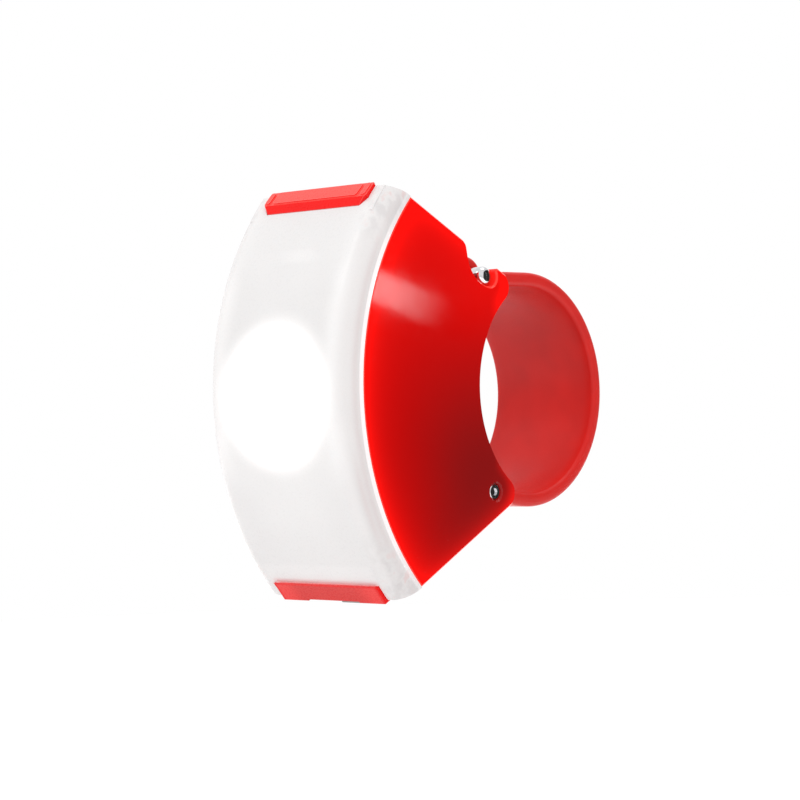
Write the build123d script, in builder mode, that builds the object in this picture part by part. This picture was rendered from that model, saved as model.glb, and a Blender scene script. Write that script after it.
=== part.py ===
from build123d import *

import os
from math import acos, atan2, cos, degrees, radians, sin, sqrt, tan

# Clip-on bicycle headlight held by a silicone strap, in millimetres.
# +Z is up and the light shines towards -Y. The origin is the centre line of the bar that
# the light straps onto, midway between its two red side plates.

os.makedirs("parts", exist_ok=True)

# Bar, saddle and strap
bar_radius = 15.9
pad_thickness = 1.4
pad_side_gap = 0.2
strap_width = 20.0
strap_thickness = 2.2
strap_edge_radius = 0.4
eye_radius = 3.2
soft_gap = 0.3
running_gap = 0.05

# Pins, as places in the side view (y, z)
pin_y = -14.4
hook_pin_z = 16.95
anchor_pin_z = -15.15
hook_pin_radius = 1.5
hook_pin_inset = 0.6
hook_pin_rounding = 0.9
anchor_pin_radius = 1.25
anchor_pin_inset = 0.3
pin_chamfer = 0.2
dimple_radius = 0.55
dimple_depth = 0.25
release_travel = 4.5
release_angle = 135.0

# Side plates
body_width = 28.4
plate_thickness = 2.0
plate_corner_y = -31.78
plate_corner_z = 28.0
plate_front_radius = 40.4
edge_slope = 27.0
ear_radius = 2.3
plate_bevel = 0.25
seat_gap = 0.1
seat_end_angle = -98.0
notch_reach = 4.85
notch_rise = 2.75
notch_lean = 0.19
notch_lip_radius = 1.6
hook_tip_radius = 0.45
peg_radius = 1.0
peg_length = 1.0
peg_y = -27.0
peg_z = 14.0

# Lens shell, gasket and rear housing
lens_rise = 3.5
lens_wall = 1.8
side_wall = 1.6
lens_edge_radius = 3.1
skirt_depth = 3.6
gasket_thickness = 0.8
housing_back_y = -20.8
saddle_reach_z = 11.3
pocket_gap = 0.4

# Power button on the upper front corner
button_length = 20.4
button_front_z = 26.9
button_rise = 0.65
button_depth = 2.2
button_travel = 0.5
button_gap = 0.12
button_bevel = 1.05
button_end_cut = 1.05
button_end_rise = 1.4
button_crest = 0.3
button_back_run = 0.35
stem_reach = 0.7
button_angle = 45.0
pad_relief = 0.2
end_rib_width = 0.9
end_rib_rounding = 0.4
groove_width = 0.45
well_wall = 1.0
stem_radius = 1.2
stem_setback = 1.9
seal_height = 0.6
seal_wall = 0.8

# Port cap and plug on the lower front corner
cap_length = 20.6
cap_front_z = 27.6
cap_rise = 0.5
cap_sink = 0.6
cap_run = 6.6
cap_lip = 0.5
cap_notch_depth = 0.25
port_recess_width = 10.2
port_recess_run = 6.2
plug_rise = 0.4
plug_thickness = 0.9
plug_start = 0.7
plug_run = 4.3
hinge_run = 5.4
plug_gap = 0.2
plug_rounding = 0.8
tab_width = 3.8
tab_height = 2.2
tab_thickness = 0.9
tab_run = 3.2
tether_width = 3.0
cap_bevel = 0.2
hinge_lift = 0.25
web_reach = 0.35
web_thickness = 0.25

# Electronics, measured back from the front face of the lamp board
board_front_y = -34.0
board_thickness = 1.2
board_gap = 2.0
board_side_gap = 0.4
lamp_board_half = 19.8
main_board_low = 24.2
tape_gap = 0.3
tape_margin = 2.0
cell_thickness = 6.0
cell_side_gap = 0.6
cell_height = 30.0
boss_gap = 0.3
screw_radius = 1.0
screw_head_radius = 1.9
screw_head_height = 1.3
screw_bite = 5.0
boss_half = 2.2
spacer_radius = 2.0
optic_side_gap = 0.6
optic_front_gap = 0.35
optic_flange = 1.2
optic_base_radius = 4.6
cone_fullness = 0.62
lamp_pocket_radius = 2.7
holder_wall = 0.7
lamp_size = 3.5
lamp_base = 0.7
lamp_dome_radius = 1.4
lamp_dome_rounding = 1.26
lamp_pocket = 2.6
optic_gap = 0.15
socket_width = 7.5
socket_depth = 2.5
socket_height = 5.2
socket_wall = 0.3
socket_rounding = 0.8
socket_tongue_width = 5.1
socket_tongue_thickness = 0.6
socket_tongue_length = 3.6
socket_mouth_z = -26.0
switch_width = 4.2
switch_depth = 3.2
switch_height = 1.95
plunger_radius = 1.0
plunger_length = 1.4
switch_board_thickness = 0.8
switch_board_run = 4.4
rib_width = 1.6
lead_radius = 0.5
lead_places = (4.2, 6.2)
lead_rise = 2.5
lead_bend_radius = 1.5
cell_rounding = 2.0
foam_margin = 2.0
foam_depth = 6.0
charge_lamp_size = (1.6, 0.8)
charge_lamp_margin = 2.7
charge_lamp_height = 0.7

# Values that follow from the sizes above
half_width = body_width / 2
inner_half = half_width - plate_thickness
cavity_half = inner_half - side_wall
pad_width = 2 * (inner_half - pad_side_gap)
board_width = 2 * (cavity_half - board_side_gap)
cell_width = 2 * (cavity_half - cell_side_gap)
foam_half = cell_width / 2 - foam_margin
screw_z = cell_height / 2 + boss_half + boss_gap
optic_radius = cavity_half - optic_side_gap
saddle_radius = bar_radius + pad_thickness
drum_radius = plate_front_radius + lens_rise
arc_y = plate_corner_y + sqrt(plate_front_radius**2 - plate_corner_z**2)
seam_radius = plate_front_radius - skirt_depth
housing_radius = seam_radius - gasket_thickness
seat_radius = hook_pin_radius + seat_gap
eye_pocket_radius = eye_radius + pocket_gap
hook_pin_place = Vector(pin_y, hook_pin_z)
anchor_pin_place = Vector(pin_y, anchor_pin_z)
release_direction = Vector(cos(radians(release_angle)), sin(radians(release_angle)))
slope = radians(edge_slope)


def edge_z(y):
    """Height of the sloping upper edge of the side plates at a depth y."""
    return plate_corner_z - (y - plate_corner_y) * tan(slope)


def edge_point(radius, lift=0.0, run=0.0):
    """Point where the upper edge, lifted outwards, meets a circle about the front arcs' centre.

    The point is then moved back along the edge by run.
    """
    start_y = plate_corner_y + lift * sin(slope) - arc_y
    start_z = plate_corner_z + lift * cos(slope)
    along = start_y * cos(slope) - start_z * sin(slope)
    reach = start_y**2 + start_z**2 - radius**2
    step = -along - sqrt(along**2 - reach) + run
    return Vector(arc_y + start_y + step * cos(slope), start_z - step * sin(slope))


def drum_y(radius, z):
    """Depth of a circle about the front arcs' centre at a height z."""
    return arc_y - sqrt(radius**2 - z**2)


def flipped(point):
    """The same point in the lower half."""
    return Vector(point.X, -point.Y)


lens_corner = edge_point(drum_radius)


def button_point(across, out):
    """Point of the side view at the upper lens corner, in the button's own directions.

    across runs up and back along the button's face, out runs against its travel.
    """
    turn = radians(button_angle)
    return Vector(
        lens_corner.X + across * sin(turn) - out * cos(turn),
        lens_corner.Y + across * cos(turn) + out * sin(turn),
    )


button_plane = Plane(
    origin=(0, lens_corner.X, lens_corner.Y),
    x_dir=(1, 0, 0),
    z_dir=(0, -cos(radians(button_angle)), sin(radians(button_angle))),
)

# Side outline shared by the lens shell, the gasket and the rear housing
upper_back = Vector(housing_back_y, edge_z(housing_back_y))
saddle_end = Vector(-sqrt(saddle_radius**2 - saddle_reach_z**2), saddle_reach_z)
shoulder = Vector(housing_back_y, saddle_reach_z + lens_wall)
pocket_middle = hook_pin_place + release_direction * (release_travel / 2)

with BuildSketch(Plane.YZ) as case_outline:
    with BuildLine():
        Polyline(lens_corner, upper_back, shoulder, saddle_end)
        ThreePointArc(saddle_end, (-saddle_radius, 0), flipped(saddle_end))
        Polyline(flipped(saddle_end), flipped(shoulder), flipped(upper_back), flipped(lens_corner))
        ThreePointArc(flipped(lens_corner), (arc_y - drum_radius, 0), lens_corner)
    make_face()
    with Locations(pocket_middle):
        SlotCenterToCenter(
            release_travel, 2 * eye_pocket_radius, rotation=release_angle, mode=Mode.SUBTRACT
        )
    with Locations(anchor_pin_place):
        Circle(eye_pocket_radius, mode=Mode.SUBTRACT)

with BuildSketch(Plane.YZ) as cavity_outline:
    add(case_outline.sketch_local)
    offset(amount=-lens_wall, kind=Kind.INTERSECTION, mode=Mode.REPLACE)

# Lens shell: a drum over the plates' front arc, with a skirt that tucks between them
button_low = Vector(drum_y(drum_radius, button_front_z), button_front_z)
button_face = Vector(sin(radians(button_angle)), cos(radians(button_angle)))
button_across_low = (button_low - lens_corner).dot(button_face)
notch_floor = -(button_depth + button_travel + button_gap)
cap_outer_corner = edge_point(drum_radius + cap_rise, cap_rise)
cap_inner_corner = edge_point(drum_radius - cap_sink, -cap_sink)
port_front_y = board_front_y + board_thickness + board_gap - socket_depth
port_middle_y = port_front_y + socket_depth / 2


def cap_section(grow):
    """Section of the cap that wraps the lower lens corner, or of its seat when grown."""
    low_out = Vector(drum_y(drum_radius + cap_rise, cap_front_z - grow), grow - cap_front_z)
    low_in = Vector(drum_y(drum_radius - cap_sink, cap_front_z - grow), grow - cap_front_z)
    run_out = flipped(edge_point(drum_radius + cap_rise, cap_rise, cap_run + grow))
    run_in = flipped(edge_point(drum_radius - cap_sink, -cap_sink, cap_run + grow))
    with BuildLine() as section:
        RadiusArc(low_out, flipped(cap_outer_corner), drum_radius + cap_rise)
        Line(flipped(cap_outer_corner), run_out)
        Line(run_out, run_in)
        Line(run_in, flipped(cap_inner_corner))
        RadiusArc(flipped(cap_inner_corner), low_in, -(drum_radius - cap_sink))
        Line(low_in, low_out)
    return section.line


def button_plan(grow):
    """Outline of the button seen along its travel, with its front corners cut off."""
    half = button_length / 2 + grow
    low = button_across_low - grow
    with BuildLine() as outline:
        Polyline(
            (-half, 2 * lens_wall),
            (-half, low + button_end_rise),
            (button_end_cut - half, low),
            (half - button_end_cut, low),
            (half, low + button_end_rise),
            (half, 2 * lens_wall),
            close=True,
        )
    return outline.line


with BuildPart() as lens_shell:
    with BuildSketch(Plane.YZ):
        add(case_outline.sketch_local)
        with Locations((arc_y, 0)):
            Circle(plate_front_radius, mode=Mode.SUBTRACT)
    extrude(amount=half_width, both=True)
    drum_edges = lens_shell.edges().filter_by(GeomType.CIRCLE)
    outer_edges = drum_edges.filter_by(lambda edge: abs(edge.radius - drum_radius) < 0.01)
    fillet(outer_edges, radius=lens_edge_radius)
    with BuildSketch(Plane.YZ):
        add(case_outline.sketch_local)
        with Locations((arc_y, 0)):
            Circle(seam_radius, mode=Mode.SUBTRACT)
            Circle(plate_front_radius + lens_wall / 2, mode=Mode.INTERSECT)
    extrude(amount=inner_half, both=True)
    with BuildSketch(Plane.YZ):
        add(cavity_outline.sketch_local)
    extrude(amount=cavity_half, both=True, mode=Mode.SUBTRACT)
    with BuildSketch(Plane.YZ):
        add(cavity_outline.sketch_local)
        with Locations((arc_y, 0)):
            Circle(plate_front_radius, mode=Mode.SUBTRACT)
    extrude(amount=half_width - lens_wall, both=True, mode=Mode.SUBTRACT)
    with BuildSketch(Plane.YZ) as well_section:
        with BuildLine():
            Polyline(
                button_point(button_across_low - button_gap - well_wall, 0.5 * lens_wall),
                button_point(2 * lens_wall, 0.5 * lens_wall),
                button_point(2 * lens_wall, notch_floor - well_wall),
                button_point(button_across_low - button_gap - well_wall, notch_floor - well_wall),
                close=True,
            )
        make_face()
        add(case_outline.sketch_local, mode=Mode.INTERSECT)
    extrude(amount=inner_half, both=True)
    with BuildSketch(button_plane.offset(notch_floor)):
        with BuildLine():
            add(button_plan(button_gap))
        make_face()
    extrude(amount=3 * lens_wall, mode=Mode.SUBTRACT)
    with BuildSketch(button_plane.offset(notch_floor - well_wall)):
        with Locations((0, -stem_setback)):
            Circle(stem_radius + running_gap)
    extrude(amount=well_wall, mode=Mode.SUBTRACT)
    with BuildSketch(button_plane.offset(notch_floor - seal_height)):
        with Locations((0, -stem_setback)):
            Circle(stem_radius + seal_wall)
    extrude(amount=seal_height, mode=Mode.SUBTRACT)
    with BuildSketch(Plane.YZ):
        with BuildLine():
            add(cap_section(button_gap))
        make_face()
    extrude(amount=cap_length / 2 + button_gap, both=True, mode=Mode.SUBTRACT)
    with BuildSketch(Plane.XY.offset(-plate_corner_z - 2 * lens_wall)):
        with Locations((0, port_middle_y)):
            RectangleRounded(socket_width + 2 * plug_gap, socket_depth + 2 * plug_gap, socket_rounding)
    extrude(amount=4 * lens_wall, mode=Mode.SUBTRACT)
lens_shell.part.label = "lens_shell"
export_step(lens_shell.part, "parts/lens_shell.step")

# Gasket between the lens skirt and the rear housing
with BuildPart() as lens_gasket:
    with BuildSketch(Plane.YZ):
        add(case_outline.sketch_local)
        with Locations((arc_y, 0)):
            Circle(seam_radius, mode=Mode.INTERSECT)
            Circle(housing_radius, mode=Mode.SUBTRACT)
    extrude(amount=inner_half, both=True)
    with BuildSketch(Plane.YZ):
        add(cavity_outline.sketch_local)
    extrude(amount=cavity_half, both=True, mode=Mode.SUBTRACT)
lens_gasket.part.label = "lens_gasket"
export_step(lens_gasket.part, "parts/lens_gasket.step")


def facing(y):
    """Plane that faces the front of the light at a depth y."""
    return Plane.XZ.offset(-y)


lamp_board_back = board_front_y + board_thickness
main_board_front = lamp_board_back + board_gap
main_board_back = main_board_front + board_thickness
screw_places = ((0, screw_z), (0, -screw_z))
boss_back = -saddle_radius - lens_wall
boss_middle = (main_board_back + boss_back) / 2
stem_tip = notch_floor - well_wall - stem_reach
switch_top = stem_tip - button_travel - running_gap
switch_base = switch_top - switch_height
switch_board_base = switch_base - switch_board_thickness
rib_low_z = lamp_board_half + soft_gap
rib_front = button_point(-switch_board_run, switch_board_base)

# Rear housing: a tub whose back is the saddle, with screw bosses and a shelf for the switch board
with BuildPart() as rear_housing:
    with BuildSketch(Plane.YZ):
        add(case_outline.sketch_local)
        with Locations((arc_y, 0)):
            Circle(housing_radius, mode=Mode.INTERSECT)
    extrude(amount=inner_half, both=True)
    with BuildSketch(Plane.YZ):
        add(cavity_outline.sketch_local)
    extrude(amount=cavity_half, both=True, mode=Mode.SUBTRACT)
    with BuildSketch(Plane.YZ):
        with Locations((boss_middle, screw_z), (boss_middle, -screw_z)):
            Rectangle(boss_back - main_board_back, 2 * boss_half)
        add(case_outline.sketch_local, mode=Mode.INTERSECT)
    extrude(amount=boss_half, both=True)
    with BuildSketch(facing(main_board_back)):
        with Locations(*screw_places):
            Circle(screw_radius)
    extrude(amount=-screw_bite, mode=Mode.SUBTRACT)
    for side in (1, -1):
        with BuildSketch(Plane.YZ.offset(side * cavity_half)):
            with BuildLine():
                Polyline(
                    rib_front,
                    button_point(0, switch_board_base),
                    (peg_y, edge_z(peg_y) - lens_wall),
                    (peg_y, rib_low_z),
                    (rib_front.X + rib_front.Y - rib_low_z, rib_low_z),
                    close=True,
                )
            make_face()
        extrude(amount=-side * rib_width)
        with BuildSketch(Plane.YZ.offset(side * inner_half)):
            with Locations((peg_y, peg_z), (peg_y, -peg_z)):
                Circle(peg_radius + running_gap)
        extrude(amount=-side * (peg_length + seat_gap), mode=Mode.SUBTRACT)
rear_housing.part.label = "rear_housing"
export_step(rear_housing.part, "parts/rear_housing.step")

# Side plates: flat cheeks with an ear above and below the saddle. The upper ear is an open
# hook for the strap's pin, the lower one holds the anchor pin.
corner_along = plate_corner_y * cos(slope) - plate_corner_z * sin(slope)
corner_square = plate_corner_y**2 + plate_corner_z**2
ear_run = -corner_along - sqrt(corner_along**2 - corner_square + saddle_radius**2)
plate_corner = Vector(plate_corner_y, plate_corner_z)
ear_tip = plate_corner + Vector(cos(slope), -sin(slope)) * ear_run


def around_hook(radius, angle):
    """Point of the side view around the hook pin."""
    return hook_pin_place + Vector(cos(radians(angle)), sin(radians(angle))) * radius


prong_foot = around_hook(seat_radius, release_angle - 90)
seat_middle = around_hook(seat_radius, seat_end_angle / 3)
seat_end = around_hook(seat_radius, seat_end_angle)
prong_end = prong_foot + release_direction * 2 * seat_radius
prong_tip = prong_foot + release_direction * (
    (edge_z(prong_foot.X) - prong_foot.Y) / (release_direction.Y + release_direction.X * tan(slope))
)
wall_top = hook_pin_place + Vector(-notch_reach, notch_rise)
wall_end = wall_top + Vector(-notch_lean, 1) * 2 * notch_rise
lip_step = (edge_z(wall_top.X) - wall_top.Y) / (1 - notch_lean * tan(slope))
notch_lip = wall_top + Vector(-notch_lean, 1) * lip_step

with BuildSketch() as plate_outline:
    with BuildLine():
        ThreePointArc(flipped(plate_corner), (arc_y - plate_front_radius, 0), plate_corner)
        Line(plate_corner, ear_tip)
        ThreePointArc(ear_tip, (-saddle_radius, 0), flipped(ear_tip))
        Line(flipped(ear_tip), flipped(plate_corner))
    make_face()
    with BuildSketch(mode=Mode.SUBTRACT):
        with BuildLine():
            Line(prong_end, prong_foot)
            ThreePointArc(prong_foot, seat_middle, seat_end)
            TangentArc(
                seat_end,
                wall_top,
                tangent=around_hook(1, seat_end_angle - 90) - hook_pin_place,
            )
            Polyline(wall_top, wall_end, prong_end)
        make_face()
    with Locations(anchor_pin_place):
        Circle(anchor_pin_radius + running_gap, mode=Mode.SUBTRACT)

rounded_corners = (
    (prong_tip, hook_tip_radius),
    (notch_lip, notch_lip_radius),
    (ear_tip, ear_radius),
    (flipped(ear_tip), ear_radius),
)
for side, plate_name in ((1, "left_side_plate"), (-1, "right_side_plate")):
    with BuildPart() as side_plate:
        with BuildSketch(Plane.YZ.offset(side * inner_half)):
            add(plate_outline.sketch_local)
        extrude(amount=side * plate_thickness)
        for corner, corner_radius in rounded_corners:
            place = (side * half_width, corner.X, corner.Y)
            corner_edges = side_plate.edges().filter_by(Axis.X)
            fillet(corner_edges.sort_by_distance(place)[0], corner_radius)
        outer_face = side_plate.faces().filter_by(Axis.X).sort_by(Axis.X)[-1 if side > 0 else 0]
        chamfer(outer_face.edges(), plate_bevel)
        with BuildSketch(Plane.YZ.offset(side * inner_half)):
            with Locations((peg_y, peg_z), (peg_y, -peg_z)):
                Circle(peg_radius)
        extrude(amount=-side * peg_length)
    side_plate.part.label = plate_name
    export_step(side_plate.part, f"parts/{plate_name}.step")

# Saddle pad: the soft lining between the housing and the bar
with BuildPart() as saddle_pad:
    with BuildSketch(Plane.YZ):
        Circle(saddle_radius)
        Circle(bar_radius, mode=Mode.SUBTRACT)
        with Locations((-saddle_radius, 0)):
            Rectangle(saddle_radius, 2 * saddle_reach_z, mode=Mode.INTERSECT)
    extrude(amount=pad_width / 2, both=True)
saddle_pad.part.label = "saddle_pad"
export_step(saddle_pad.part, "parts/saddle_pad.step")

# Strap: from the hook pin over the back of the bar to the anchor pin, with an eye at each end
strap_middle = bar_radius + strap_thickness / 2
strap_outer = bar_radius + strap_thickness


def polar(radius, angle):
    """Point of the side view around the bar."""
    return Vector(cos(radians(angle)), sin(radians(angle))) * radius


def touch_angle(pin, turn):
    """Angle around the bar where a straight run from a pin meets the strap's curve."""
    return degrees(atan2(pin.Y, pin.X)) - turn * degrees(acos(strap_middle / pin.length))


upper_touch = touch_angle(hook_pin_place, 1)
lower_touch = touch_angle(anchor_pin_place, -1)
back_angle = (upper_touch + lower_touch) / 2
upper_side = polar(strap_thickness / 2, upper_touch)
lower_side = polar(strap_thickness / 2, lower_touch)

with BuildPart() as strap:
    with BuildSketch(Plane.YZ):
        with BuildLine():
            Line(hook_pin_place + upper_side, polar(strap_outer, upper_touch))
            ThreePointArc(
                polar(strap_outer, upper_touch),
                polar(strap_outer, back_angle),
                polar(strap_outer, lower_touch),
            )
            Polyline(
                polar(strap_outer, lower_touch),
                anchor_pin_place + lower_side,
                anchor_pin_place - lower_side,
                polar(bar_radius, lower_touch),
            )
            ThreePointArc(
                polar(bar_radius, lower_touch),
                polar(bar_radius, back_angle),
                polar(bar_radius, upper_touch),
            )
            Polyline(
                polar(bar_radius, upper_touch),
                hook_pin_place - upper_side,
                hook_pin_place + upper_side,
            )
        make_face()
        with Locations(hook_pin_place, anchor_pin_place):
            Circle(eye_radius)
        with Locations(hook_pin_place):
            Circle(hook_pin_radius, mode=Mode.SUBTRACT)
        with Locations(anchor_pin_place):
            Circle(anchor_pin_radius + running_gap, mode=Mode.SUBTRACT)
    extrude(amount=strap_width / 2, both=True)
    for side_face in strap.faces().filter_by(Axis.X):
        fillet(side_face.outer_wire().edges(), strap_edge_radius)
strap.part.label = "strap"
export_step(strap.part, "parts/strap.step")

# Hook pin: rides in the strap's upper eye, its rounded ends sit in the hooks of both plates
with BuildPart() as hook_pin:
    with BuildSketch(Plane.YZ):
        with Locations(hook_pin_place):
            Circle(hook_pin_radius)
    extrude(amount=half_width - hook_pin_inset, both=True)
    fillet(hook_pin.edges().filter_by(GeomType.CIRCLE), hook_pin_rounding)
hook_pin.part.label = "hook_pin"
export_step(hook_pin.part, "parts/hook_pin.step")

# Anchor pin: holds the strap's lower eye, with a dimple in each end
with BuildPart() as anchor_pin:
    with BuildSketch(Plane.YZ):
        with Locations(anchor_pin_place):
            Circle(anchor_pin_radius)
    extrude(amount=half_width - anchor_pin_inset, both=True)
    chamfer(anchor_pin.edges().filter_by(GeomType.CIRCLE), pin_chamfer)
    for side in (1, -1):
        with BuildSketch(Plane.YZ.offset(side * (half_width - anchor_pin_inset))):
            with Locations(anchor_pin_place):
                Circle(dimple_radius)
        extrude(amount=-side * dimple_depth, mode=Mode.SUBTRACT)
anchor_pin.part.label = "anchor_pin"
export_step(anchor_pin.part, "parts/anchor_pin.step")

# Power button: a bar on the upper front corner, with a raised pad, end ribs and a stem
edge_out = abs(cos(slope) * cos(radians(button_angle)) + sin(slope) * sin(radians(button_angle)))
face_low = button_across_low + button_bevel
face_run = button_crest - face_low
face_middle = (button_crest + face_low) / 2
pad_length = button_length - 2 * (end_rib_width + 2 * groove_width)
rib_place = button_length / 2 - groove_width / 2 - end_rib_width / 2

with BuildPart() as power_button:
    with BuildSketch(Plane.YZ):
        with BuildLine():
            Polyline(
                button_point(button_across_low, -button_depth),
                button_low,
                button_point(face_low, button_rise - pad_relief),
                button_point(button_crest, button_rise - pad_relief),
                edge_point(drum_radius, 0, button_back_run),
                edge_point(drum_radius, 0, button_depth / edge_out),
                close=True,
            )
        make_face()
    extrude(amount=button_length / 2, both=True)
    with BuildSketch(button_plane.offset(-button_depth)):
        with BuildLine():
            add(button_plan(0))
        make_face()
    extrude(amount=button_depth + 2 * button_rise, mode=Mode.INTERSECT)
    with BuildSketch(button_plane.offset(button_rise - pad_relief)):
        with Locations((0, face_middle)):
            RectangleRounded(pad_length, face_run - groove_width, groove_width)
        with Locations((rib_place, face_middle), (-rib_place, face_middle)):
            RectangleRounded(end_rib_width, face_run - groove_width, end_rib_rounding)
    extrude(amount=pad_relief)
    with BuildSketch(button_plane.offset(-button_depth)):
        with Locations((0, -stem_setback)):
            Circle(stem_radius)
    extrude(amount=stem_tip + button_depth)
power_button.part.label = "power_button"
export_step(power_button.part, "parts/power_button.step")

# Stem seal: the ring that the button's stem slides through
with BuildPart() as stem_seal:
    with BuildSketch(button_plane.offset(notch_floor - seal_height)):
        with Locations((0, -stem_setback)):
            Circle(stem_radius + seal_wall)
            Circle(stem_radius + running_gap, mode=Mode.SUBTRACT)
    extrude(amount=seal_height)
stem_seal.part.label = "stem_seal"
export_step(stem_seal.part, "parts/stem_seal.step")

# Switch board, tactile switch and its plunger under the button's stem
with BuildPart() as switch_board:
    with BuildSketch(button_plane.offset(switch_board_base)):
        with Locations((0, -switch_board_run / 2)):
            Rectangle(board_width, switch_board_run)
    extrude(amount=switch_board_thickness)
switch_board.part.label = "switch_board"
export_step(switch_board.part, "parts/switch_board.step")

with BuildPart() as tact_switch:
    with BuildSketch(button_plane.offset(switch_base)):
        with Locations((0, -stem_setback)):
            Rectangle(switch_width, switch_depth)
    extrude(amount=switch_height)
    with BuildSketch(button_plane.offset(switch_top)):
        with Locations((0, -stem_setback)):
            Circle(plunger_radius + running_gap)
    extrude(amount=-plunger_length, mode=Mode.SUBTRACT)
tact_switch.part.label = "tact_switch"
export_step(tact_switch.part, "parts/tact_switch.step")

with BuildPart() as switch_plunger:
    with BuildSketch(button_plane.offset(stem_tip)):
        with Locations((0, -stem_setback)):
            Circle(plunger_radius)
    extrude(amount=-plunger_length)
switch_plunger.part.label = "switch_plunger"
export_step(switch_plunger.part, "parts/switch_plunger.step")

# Port cap: wraps the lower front corner and frames the charging port
port_plane = Plane(
    origin=(0, lens_corner.X, -lens_corner.Y),
    x_dir=(-1, 0, 0),
    z_dir=(0, sin(slope), -cos(slope)),
)


def along_port(start, end):
    """Middle of a stretch of the lower face, given as runs back from the front corner."""
    return (0, (start + end) / 2)


with BuildPart() as port_cap:
    with BuildSketch(Plane.YZ):
        with BuildLine():
            add(cap_section(0))
        make_face()
    extrude(amount=cap_length / 2, both=True)
    with BuildSketch(port_plane.offset(-cap_sink - seat_gap)):
        with Locations(along_port(cap_lip, port_recess_run)):
            Rectangle(port_recess_width, port_recess_run - cap_lip)
    extrude(amount=2 * (cap_sink + cap_rise), mode=Mode.SUBTRACT)
    with BuildSketch(port_plane.offset(cap_rise - cap_notch_depth)):
        with Locations((0, 0)):
            Rectangle(port_recess_width, 2 * cap_lip + seat_gap)
    extrude(amount=2 * cap_rise, mode=Mode.SUBTRACT)
    side_faces = port_cap.faces().filter_by(Axis.X).group_by(Axis.X)
    chamfer(side_faces[0].edges() + side_faces[-1].edges(), cap_bevel)
port_cap.part.label = "port_cap"
export_step(port_cap.part, "parts/port_cap.step")


def lower_face_z(y, lift):
    """Height of the lower sloping face at a depth y, lifted outwards."""
    return -edge_z(y) - lift / cos(slope)


# Port plug: a soft cover with a boss that fills the port's mouth and a tab to pull it by
plug_width = port_recess_width - 2 * plug_gap
boss_front_y = port_front_y + plug_gap
boss_back_y = port_front_y + socket_depth - plug_gap
boss_top_z = socket_mouth_z - soft_gap

with BuildPart() as port_plug:
    with BuildSketch(port_plane.offset(plug_rise - plug_thickness)):
        with Locations(along_port(plug_start, plug_start + plug_run)):
            RectangleRounded(plug_width, plug_run, plug_rounding)
    extrude(amount=plug_thickness)
    with BuildSketch(Plane.YZ):
        with BuildLine():
            Polyline(
                (boss_front_y, boss_top_z),
                (boss_back_y, boss_top_z),
                (boss_back_y, lower_face_z(boss_back_y, 0)),
                (boss_front_y, lower_face_z(boss_front_y, 0)),
                close=True,
            )
        make_face()
    extrude(amount=socket_width / 2 - plug_gap, both=True)
    with BuildSketch(port_plane.offset(plug_rise)):
        with Locations((0, tab_run)):
            Rectangle(tab_width, tab_thickness)
    extrude(amount=tab_height)
port_plug.part.label = "port_plug"
export_step(port_plug.part, "parts/port_plug.step")

# Plug tether: the plug's living hinge and its foot, fixed in the cap's recess
with BuildPart() as plug_tether:
    with BuildSketch(port_plane.offset(-cap_sink)):
        with Locations(along_port(hinge_run + web_reach, port_recess_run)):
            Rectangle(tether_width, port_recess_run - hinge_run - web_reach)
    extrude(amount=cap_sink + cap_rise)
    with BuildSketch(port_plane.offset(hinge_lift - web_thickness / 2)):
        with Locations(along_port(hinge_run - web_reach, hinge_run + web_reach)):
            Rectangle(tether_width, 2 * web_reach)
    extrude(amount=web_thickness)
plug_tether.part.label = "plug_tether"
export_step(plug_tether.part, "parts/plug_tether.step")

# Charging port: metal shell and the tongue inside it
with BuildPart() as socket_shell:
    with BuildSketch(Plane.XY.offset(socket_mouth_z)):
        with Locations((0, port_middle_y)):
            RectangleRounded(socket_width, socket_depth, socket_rounding)
    extrude(amount=socket_height)
    with BuildSketch(Plane.XY.offset(socket_mouth_z)):
        with Locations((0, port_middle_y)):
            RectangleRounded(
                socket_width - 2 * socket_wall,
                socket_depth - 2 * socket_wall,
                socket_rounding - socket_wall,
            )
    extrude(amount=socket_height - socket_wall, mode=Mode.SUBTRACT)
socket_shell.part.label = "socket_shell"
export_step(socket_shell.part, "parts/socket_shell.step")

with BuildPart() as socket_tongue:
    with BuildSketch(Plane.XY.offset(socket_mouth_z + socket_height - socket_wall)):
        with Locations((0, port_middle_y)):
            Rectangle(socket_tongue_width, socket_tongue_thickness)
    extrude(amount=-socket_tongue_length)
socket_tongue.part.label = "socket_tongue"
export_step(socket_tongue.part, "parts/socket_tongue.step")

# Boards: the lamp board in front, the main board behind it on two spacers
for board_name, front_y, low_z in (
    ("lamp_board", board_front_y, lamp_board_half),
    ("main_board", main_board_front, main_board_low),
):
    with BuildPart() as board:
        with BuildSketch(facing(front_y)):
            with Locations((0, (lamp_board_half - low_z) / 2)):
                Rectangle(board_width, lamp_board_half + low_z)
            with Locations(*screw_places):
                Circle(screw_radius + seat_gap, mode=Mode.SUBTRACT)
        extrude(amount=-board_thickness)
    board.part.label = board_name
    export_step(board.part, f"parts/{board_name}.step")

with BuildPart() as board_spacers:
    with BuildSketch(facing(main_board_front)):
        with Locations(*screw_places):
            Circle(spacer_radius)
            Circle(screw_radius + seat_gap, mode=Mode.SUBTRACT)
    extrude(amount=board_gap)
board_spacers.part.label = "board_spacers"
export_step(board_spacers.part, "parts/board_spacers.step")

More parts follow.
